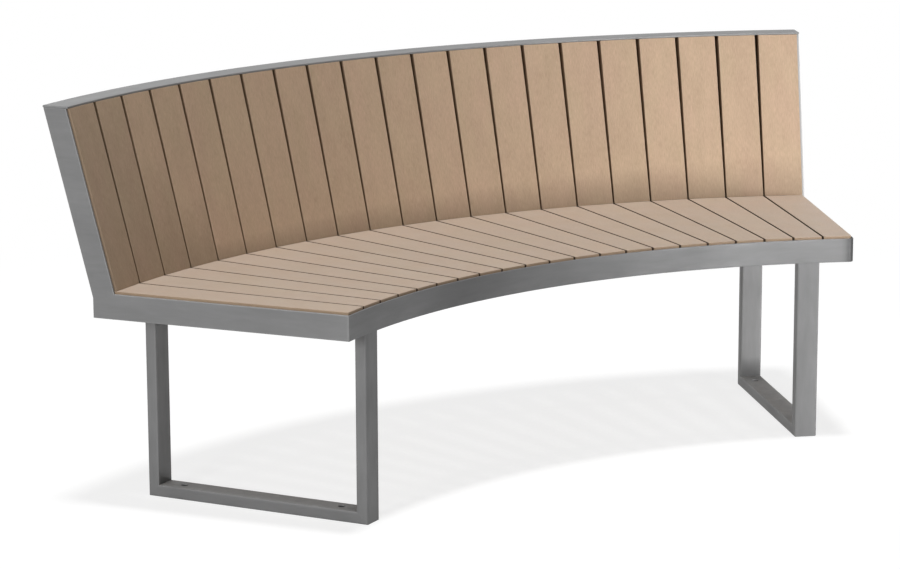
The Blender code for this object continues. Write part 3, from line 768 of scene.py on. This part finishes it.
# Painted shade along the band: darker towards the fold and in a soft dip left of the middle.
before_fold = FLAT_SHADE * np.clip(1 - (FOLD_ANGLE - arc) * FRONT_RADIUS / FOLD_RADIUS, 0, 1)
hollow = DIP_SHADE * np.exp(-((arc - DIP_ANGLE) / DIP_WIDTH) ** 2)
in_fold = FLAT_SHADE + (FOLD_SHADE - FLAT_SHADE) * np.sin(fold)
band_shade = np.concatenate([before_fold + hollow, in_fold, [FOLD_SHADE] * RUN_POINTS])
add_carried(
    "front_band", "front_apron", band_line, band_inward,
    *eased_rectangle(0.0, APRON_THICKNESS, -FRAME_HEIGHT / 2, FRAME_HEIGHT / 2, BAND_EASE),
    grain_start=(0.0, 0.0, 0.0), shade=band_shade[:, None],
)
print("the band is %.3f m long" % distance_along(band_line)[-1])

# %% [markdown]
# ## Top bar
#
# A flat bar lies over the ends of the boards, cut on the two end radii. Seen from the front only
# its lip and its top face show, and the lip stands a hair in front of the boards.

# %% Top bar
BAR_EASE = 0.0007
bar_arc = np.linspace(-HALF_ARC, HALF_ARC, ARC_POINTS)
bar_inner = front_of_boards(OVERALL_HEIGHT) - BAR_OVERHANG
bar_width = BAR_OUTER_RADIUS - bar_inner
add_carried(
    "top_bar", "top_rail", around(bar_inner, bar_arc, OVERALL_HEIGHT - BAR_THICKNESS / 2), outward(bar_arc),
    *eased_rectangle(0.0, bar_width, -BAR_THICKNESS / 2, BAR_THICKNESS / 2, BAR_EASE),
    grain_start=(3.0, 0.5, 0.0),
)
print("the bar is %.1f mm wide" % (bar_width * 1000))

# %% [markdown]
# ## Rear sheet
#
# One sheet closes the bench from behind. It stands upright behind the seat frame and is bent to
# lean with the boards. A bend of real sheet has a small radius, so the middle line of the sheet
# gets a short arc there, and the two faces are that line moved by half of the thickness each way.

# %% Rear sheet
BEND_RADIUS, BEND_POINTS = 0.006, 6


def bent_line(points, radius):
    """The line through three points, its corner replaced by an arc that touches both legs."""
    first, corner, last = (np.asarray(point, float) for point in points)
    back, on = unit(first - corner), unit(last - corner)
    half_turn = (np.pi - np.arccos(back @ on)) / 2
    centre = corner + unit(back + on) * radius / np.cos(half_turn)
    share = np.linspace(0.0, 1.0, BEND_POINTS)[:, None]
    chord = corner + radius * np.tan(half_turn) * (back * (1 - share) + on * share)
    return np.vstack([first, centre + unit(chord - centre) * radius, last])


def two_faces(line, thickness):
    """A closed loop: the line moved half the thickness one way, then back on the other side."""
    run = unit(np.gradient(line, axis=0))
    side = quarter_right(run) * thickness / 2
    return np.vstack([line + side, (line - side)[::-1]])


half_sheet = SHEET_THICKNESS / 2
sheet_top = STEEL_TOP - SHEET_THICKNESS * np.sin(LEAN)
top_depth = rear_face(sheet_top) - REAR_RADIUS - half_sheet * np.cos(LEAN)
top = (top_depth, sheet_top + half_sheet * np.sin(LEAN))
middle = bent_line([(-half_sheet, FRAME_BOTTOM), (-half_sheet, STEP), top], BEND_RADIUS)
section = two_faces(middle, SHEET_THICKNESS)
sheet_half_arc = HALF_ARC - np.arcsin((PLATE_THICKNESS + GAP) / REAR_RADIUS)
sheet_arc = np.linspace(-sheet_half_arc, sheet_half_arc, ARC_POINTS)
add_carried(
    "rear_sheet", "rear_shell", around(REAR_RADIUS, sheet_arc, 0.0), outward(sheet_arc),
    section, edge=0.0, grain_start=(6.0, 0.2, 0.0),
)
print("the sheet's section has", len(section), "points")

# %% [markdown]
# ## End plates
#
# Each end is closed by one L-shaped plate, laser cut from five millimetres. Its outline has two
# inward corners, one where the seat meets the back and a shallow one where the back begins to lean,
# and both stay sharp. The boards stand a few millimetres in front of it, so the wood shows as a
# thin warm line beside the steel. The seams to the band are welded and ground flush, so each
# plate's eased front edge sinks into the band.

# %% End plates
# The cut front edge is bare steel with a painted highlight, weaker on the left plate.
PLATE_EASE, PLATE_CUT_AND_HIGHLIGHT = 0.0005, {"left": 0.4, "right": 1.0}


def end_plate_corners(front):
    """The L in the plane of the end radius, as (radius, height), anticlockwise."""
    setback = PLATE_SETBACK / np.cos(LEAN)
    return [
        (front, FRAME_BOTTOM), (REAR_RADIUS, FRAME_BOTTOM), (REAR_RADIUS, STEP),
        (rear_face(STEEL_TOP), STEEL_TOP), (front_of_boards(STEEL_TOP) + setback, STEEL_TOP),
        (front_of_boards(FRAME_TOP) + setback, FRAME_TOP), (front, FRAME_TOP),
    ]


fold_end = FOLD_CENTRE_RADIUS * np.cos(HALF_ARC - FOLD_ANGLE)
left_front, right_front = FRONT_RADIUS + APRON_THICKNESS, fold_end + APRON_RETURN
plate_fronts = {"left": left_front - PLATE_EASE, "right": right_front - PLATE_EASE}
for end, hand in ENDS:
    corners = end_plate_corners(plate_fronts[end])
    grid, edge, cut = softened_prism(corners, PLATE_EASE, PLATE_THICKNESS, PLATE_EASE)[:3]
    inside = grid + [0.0, 0.0, PLATE_THICKNESS / 2]
    angle = hand * HALF_ARC
    add_piece(
        f"side_plate_{end}", laid_out(AXIS_FOOT, inside, outward(angle), UP, -hand * along_arc(angle)),
        sheet_steel, "steel", f"end_plate_{end}",
        lengthwise=grid + [9.0 + hand, 1.0, 0.0], edge=edge, side=cut * PLATE_CUT_AND_HIGHLIGHT[end],
    )
print("the left plate starts at radius %.4f m, the right one at %.4f m" % tuple(plate_fronts.values()))

# %% [markdown]
# ## Leg loops
#
# A leg is a closed rectangle of four tubes, mitred at forty-five degrees and welded, with the
# welds ground flush. A tube is its rounded section carried along a straight line, and the mitre is
# a shear of each end: a point of the section that lies further out reaches further along. The foot
# rails are hollowed out and drilled, because their anchor holes show.

# %% Leg tubes
TUBE_POINTS = 9


def leg_frame(hand):
    """Outward and sideways directions of a loop, whose outer face lies in a plane of the axis."""
    return outward(hand * LEG_ANGLE), -hand * along_arc(hand * LEG_ANGLE)


def add_tube(name, covers, hand, start, end, out, grain_start):
    """A tube between two points of the loop's plane: along(u, v) = u (length + 2 out(v)) - out(v)."""
    radial, sideways = leg_frame(hand)
    start, end, out = (np.asarray(value, float) for value in (start, end, out))
    length = np.linalg.norm(end - start)
    half_width, half_depth = TUBE_WIDTH / 2, TUBE_DEPTH / 2
    section, edge = eased_rectangle(-half_width, half_width, -half_depth, half_depth, TUBE_CORNER)
    width, depth = section.T
    share = np.linspace(0.0, 1.0, TUBE_POINTS)[:, None]
    walked = share * (length + 2 * depth) - depth
    flat = start + walked[..., None] * (end - start) / length + depth[:, None] * out
    in_loop = side_by_side(flat[..., 0], flat[..., 1], width + half_width)
    places = laid_out(AXIS_FOOT, in_loop, radial, UP, sideways)
    lengthwise = side_by_side(walked, width, depth) + grain_start
    add_piece(name, places, tube_steel, "steel", covers, edge=edge, lengthwise=lengthwise)


leg_front, leg_rear = FRONT_RADIUS + APRON_THICKNESS + GAP, REAR_RADIUS - LEG_SETBACK
middle_line = TUBE_DEPTH / 2
low, high = middle_line, LEG_HEIGHT - middle_line
near, far = leg_front + middle_line, leg_rear - middle_line
loop_sides = {
    "foot_rail": ((near, low), (far, low), (0, -1)),
    "head_rail": ((near, high), (far, high), (0, 1)),
    "front_upright": ((near, low), (near, high), (-1, 0)),
    "rear_upright": ((far, low), (far, high), (1, 0)),
}
for end, hand in ENDS:
    for order, (label, line) in enumerate(loop_sides.items()):
        name = f"{end}_{label}"
        grain_start = (12.0 + order + 5 * hand, 0.0, 0.0)
        add_tube("tube_" + name, "leg_" + name, hand, *line, grain_start)
print("a leg loop is %.3f m deep and %.3f m high" % (leg_rear - leg_front, LEG_HEIGHT))

# %% [markdown]
# ## Anchor holes
#
# The bench is bolted down through its foot rails: a wide hole in the upper wall lets the socket
# pass, and a smaller one in the lower wall takes the bolt. Cutting them into the surface by hand
# would break its grid, so a Boolean takes away the bore and then each hole. The marks are then
# written again from the places of the points, and the walls of the upper holes are marked as cut
# metal, which also paints light on these walls where they lie in shade.

# %% Anchor holes
HOLE_SIDES, CUT_OVERRUN, WALL_REACH, STEEP = 40, 0.01, 1.1, 0.5


def disc_column(centre, radius, low, high):
    """Places of an upright column: centre + radius (cos t, sin t) at two heights."""
    ring = centre + radius * circle(np.linspace(0, 2 * np.pi, HOLE_SIDES, endpoint=False))
    return side_by_side(*ring.T, [[low], [high]])


def take_away(piece, places):
    """Cut one closed shape out of the piece."""
    cutter = add_object("cutter", new_mesh("cutter", places))
    cut = piece.modifiers.new("cut", "BOOLEAN")
    cut.object, cut.operation, cut.solver = cutter, "DIFFERENCE", "EXACT"
    graph = bpy.context.evaluated_depsgraph_get()
    result = bpy.data.meshes.new_from_object(piece.evaluated_get(graph))
    piece.modifiers.clear()
    piece.data = result
    bpy.data.objects.remove(cutter)


for end, hand in ENDS:
    foot = bpy.data.objects[f"tube_{end}_foot_rail"]
    radial, sideways = leg_frame(hand)
    hollow = rectangle(TUBE_WALL, TUBE_WIDTH - TUBE_WALL, TUBE_WALL, TUBE_DEPTH - TUBE_WALL)
    bore = [
        [AXIS_FOOT + reach * radial + width * sideways + height * UP for width, height in hollow]
        for reach in (leg_front + TUBE_DEPTH, leg_rear - TUBE_DEPTH)
    ]
    take_away(foot, bore)
    for distance in (leg_front + ANCHOR_INSET, leg_rear - ANCHOR_INSET):
        centre = (AXIS_FOOT + distance * radial + TUBE_WIDTH / 2 * sideways)[:2]
        take_away(foot, disc_column(centre, ACCESS_RADIUS, TUBE_DEPTH / 2, TUBE_DEPTH + CUT_OVERRUN))
        take_away(foot, disc_column(centre, BOLT_RADIUS, -CUT_OVERRUN, TUBE_DEPTH / 2))
    mesh = foot.data
    points = np.array([point.co for point in mesh.vertices]) - AXIS_FOOT
    mark(mesh, "lengthwise", side_by_side(points @ radial + 9 + hand, points @ sideways, points @ UP))
    mark(mesh, "edge", np.zeros(len(points)))
    centres = np.array([face.center for face in mesh.polygons]) - AXIS_FOOT
    upright = np.array([abs(face.normal.z) < STEEP for face in mesh.polygons])
    in_upper_wall = centres @ UP > TUBE_DEPTH - TUBE_WALL
    near_hole = np.abs(centres @ sideways - TUBE_WIDTH / 2) < WALL_REACH * ACCESS_RADIUS
    # The upper hole walls are bare cut metal, with painted light where they lie in shade.
    mark(mesh, "side", upright & in_upper_wall & near_hole, "FACE")
    shade_by_angle(mesh)
    print(foot.name, "now has", len(mesh.polygons), "faces")

# %% [markdown]
# ## Bars behind the planks
#
# The bars that carry the planks, and the ribs under them, are already right in the engineering
# model: flat bars with one flat to a plank. They keep their shape and carry no marks, so their
# finish reads the object's own coordinates in place of the `lengthwise` mark.

# %% Bars keep their shape
bar_steel = satin_steel("bar_steel", 0.08, 0.12)
tree = bar_steel.node_tree
coordinates = node(tree, "ShaderNodeTexCoord")
for link in list(tree.links):
    if getattr(link.from_node, "attribute_name", "") == "lengthwise":
        tree.links.new(coordinates.outputs["Object"], link.to_socket)
for name in ("seat_rail_front", "ribbed_rear_rail", "back_rail_lower", "back_rail_upper"):
    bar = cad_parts[name]
    bar.data.materials.clear()
    bar.data.materials.append(bar_steel)
print("bars:", bar_steel.name)

# %% [markdown]
# ## Screws
#
# Every plank is held by a screw through each bar, from below and from behind, so none shows on
# the seat. A low domed head is a curve turned round its own axis: the radius shrinks as a cosine
# while the height grows as a sine. The heads on one bar are one array of that small shape, moved
# to the screw places, and each head has fewer than a hundred faces.

# %% Screws
SCREW_OFFSET = FRONT_RADIUS * np.tan(PITCH / 2) - SEAT_GAP / 2 - SCREW_EDGE
HEAD_RADIUS, HEAD_HEIGHT, HEAD_RIM, DOME_TURN = 0.0058, 0.0026, 0.0006, np.radians(78.0)
SOCKET_TOP_RADIUS, SOCKET_FOOT_RADIUS, SOCKET_DEPTH = 0.0018, 0.0016, 0.0014
HEAD_STEPS, HEAD_SIDES, HEAD_GRAIN_STEP = 5, 12, 0.05


def screw_head():
    """Head on its seat at height 0, growing upwards: rings of radius R cos s at height H sin s."""
    rise = np.linspace(0.0, DOME_TURN, HEAD_STEPS)
    top = HEAD_HEIGHT + HEAD_RIM
    radius = np.array([HEAD_RADIUS, *HEAD_RADIUS * np.cos(rise), SOCKET_TOP_RADIUS, SOCKET_FOOT_RADIUS])
    height = np.array([0.0, *HEAD_HEIGHT * np.sin(rise) + HEAD_RIM, top, top - SOCKET_DEPTH])
    flat = radius[:, None, None] * circle(np.linspace(0, 2 * np.pi, HEAD_SIDES, endpoint=False))
    return side_by_side(flat[..., 0], flat[..., 1], height[:, None])


def add_screws(name, places, across, along, out):
    """One mesh of many heads: place + x across + y along + z out, for every screw at once."""
    head = screw_head()
    one = capped_faces(*head.shape[:2])
    flat = head.reshape(-1, 3)
    grid = laid_out(places[:, None], flat[None], across[:, None], along[:, None], out[:, None])
    faces = [[corner + order * len(flat) for corner in face] for order in range(len(places)) for face in one]
    lengthwise = flat + np.arange(len(places))[:, None, None] * HEAD_GRAIN_STEP
    add_piece(name, grid, tube_steel, "steel", faces=faces, lengthwise=lengthwise, edge=0.0)


across = along_arc(plank_angles)
offset = np.where(plank_angles < 0, SCREW_OFFSET, -SCREW_OFFSET)[:, None] * across
for label, radius in (("front", FRONT_RADIUS + RAIL_INSET), ("rear", JUNCTION_RADIUS - RAIL_INSET)):
    seats = around(radius, plank_angles, RAIL_TOP - RAIL_THICKNESS) + offset
    down = np.broadcast_to(-UP, seats.shape)
    add_screws(f"seat_screws_{label}", seats, across, outward(plank_angles), down)
up_slope, behind = leaning(plank_angles)
for label, height in (("lower", SEAT_HEIGHT + BACK_RAIL_INSET), ("upper", OVERALL_HEIGHT - BACK_RAIL_INSET)):
    radius = front_of_boards(height) + PLANK_THICKNESS / np.cos(LEAN)
    seats = around(radius, plank_angles, height) + offset + behind * (GAP + RAIL_THICKNESS)
    add_screws(f"back_screws_{label}", seats, across, up_slope, behind)
print("screws:", 4 * PLANK_COUNT)

# %% [markdown]
# ## Floor and surroundings
#
# The photograph is a cut-out on white, with only a faint shadow on the ground. A white floor in
# full light would also flood the bench from below, so the floor is pale for the light and white
# for the eye: where a camera ray or a reflection meets it, it gives out most of the white itself,
# and the rest is the lit surface, which keeps the soft shadow. That share fades out further off.

# %% Floor
FLOOR_BOUNCE, FLOOR_WHITE, SHADOW_SHARE, FLOOR_HALF = 0.58, 0.78, 0.31, 40
SHADOW_NEAR, SHADOW_FAR, WHITE = 1.3, 2.6, (1.0, 1.0, 1.0, 1.0)


def seen(tree):
    """1 for a camera ray, a reflection or a ray through glass, and 0 for all other light."""
    ray = node(tree, "ShaderNodeLightPath").outputs
    return maths("MAXIMUM", ray["Is Camera Ray"], ray["Is Glossy Ray"], ray["Is Transmission Ray"])


floor_finish = bpy.data.materials.new("floor_finish")
floor_finish.use_nodes = True
tree = floor_finish.node_tree
tree.nodes.remove(tree.nodes["Principled BSDF"])
by_eye = seen(tree)
place = node(tree, "ShaderNodeTexCoord").outputs["Object"]
distance = node(tree, "ShaderNodeVectorMath", operation="LENGTH", Vector=place).outputs["Value"]
fading = node(tree, "ShaderNodeMapRange", interpolation_type="SMOOTHSTEP")
near = feed(fading, distance, SHADOW_NEAR, SHADOW_FAR, 1.0, 0.0)
less = maths("SUBTRACT", maths("MULTIPLY", near, SHADOW_SHARE), FLOOR_BOUNCE)
bounce = maths("ADD", maths("MULTIPLY", by_eye, less), FLOOR_BOUNCE)
lit = node(tree, "ShaderNodeBsdfDiffuse", Color=bounce)
glow = maths("MULTIPLY", by_eye, remapped(near, 1.0, FLOOR_WHITE))
white = node(tree, "ShaderNodeEmission", Color=WHITE, Strength=glow)
both = feed(node(tree, "ShaderNodeAddShader"), lit.outputs[0], white.outputs[0])
plug(tree.nodes["Material Output"].inputs["Surface"], both)
mesh = bpy.data.meshes.new("floor")
corners = rectangle(-FLOOR_HALF, FLOOR_HALF, -FLOOR_HALF, FLOOR_HALF)
mesh.from_pydata([(x, y, 0) for x, y in corners], [], [(0, 1, 2, 3)])
mesh.materials.append(floor_finish)
add_object("floor", mesh)
print("the floor's finish has", len(tree.nodes), "nodes")

# %% World
AMBIENT = 0.160
world = bpy.data.worlds.new("studio")
world.use_nodes = True
background = world.node_tree.nodes["Background"].inputs
background["Color"].default_value = WHITE
plug(background["Strength"], remapped(seen(world.node_tree), AMBIENT, 1.0))
bpy.context.scene.world = world
print("floor and world are white to the camera; the light from around is", AMBIENT)

# %% [markdown]
# ## Lamps
#
# The photograph is lit evenly from straight above, which is why the seat is one tone and the
# shadow lies right under the bench. A low lamp in front is aimed at the right half, so the boards
# and the band grow brighter from left to right, and a weak one lights the left end. One more weak
# lamp stands behind, so that the back isn't lost in other views.

# %% Lamps
def add_lamp(name, kind, power, place, target, **settings):
    """A lamp at a place, turned towards its target."""
    data = bpy.data.lights.new(name, kind)
    data.energy = power
    for setting, value in settings.items():
        setattr(data, setting, value)
    lamp = add_object(name, data)
    lamp.location = place
    lamp.rotation_euler = (Vector(target) - Vector(place)).to_track_quat("-Z", "Y").to_euler()
    print("lamp", name, "has power", power)


add_lamp("overhead", "SUN", 1.68, (0.0, 0.0, 4.0), (0.0, 0.0, 0.0), angle=np.radians(7.0))
add_lamp("low_front", "SPOT", 660.0, (1.2, -3.9, 0.40), (1.95, 0.6, 0.52),
         spot_size=np.radians(58.0), spot_blend=1.0, shadow_soft_size=0.6)
add_lamp("from_left", "AREA", 54.0, (-4.1, -1.8, 1.4), (-0.4, 0.0, 0.5),
         shape="RECTANGLE", size=1.0, size_y=1.0)
add_lamp("from_behind", "AREA", 24.0, (1.5, 5.0, 0.95), (0.0, 0.3, 0.6),
         shape="RECTANGLE", size=1.5, size_y=1.0)

# %% [markdown]
# ## Camera
#
# The camera stands where the photographer did: in front and to the left, well above the seat, far
# enough for a long lens. Its place, turn and lens were worked out by matching the bench's corners
# with the photograph, and the small shift says that the picture was cropped off centre.

# %% Camera
CAMERA_PLACE, CAMERA_DIP, CAMERA_TURN = (-4.17326, -5.60030, 1.78912), 0.22080, -0.64569
camera_data = bpy.data.cameras.new("camera")
camera_data.sensor_width = 36.0
camera_data.lens = 130.674
camera_data.shift_x, camera_data.shift_y = -0.066424, 0.065931
camera_data.clip_end = 200.0
camera = add_object("camera", camera_data)
camera.location = CAMERA_PLACE
camera.rotation_euler = (np.pi / 2 - CAMERA_DIP, 0.0, CAMERA_TURN)
bpy.context.scene.camera = camera
bpy.context.scene.view_settings.view_transform = "Standard"
print("the camera looks down by %.1f degrees" % np.degrees(CAMERA_DIP))
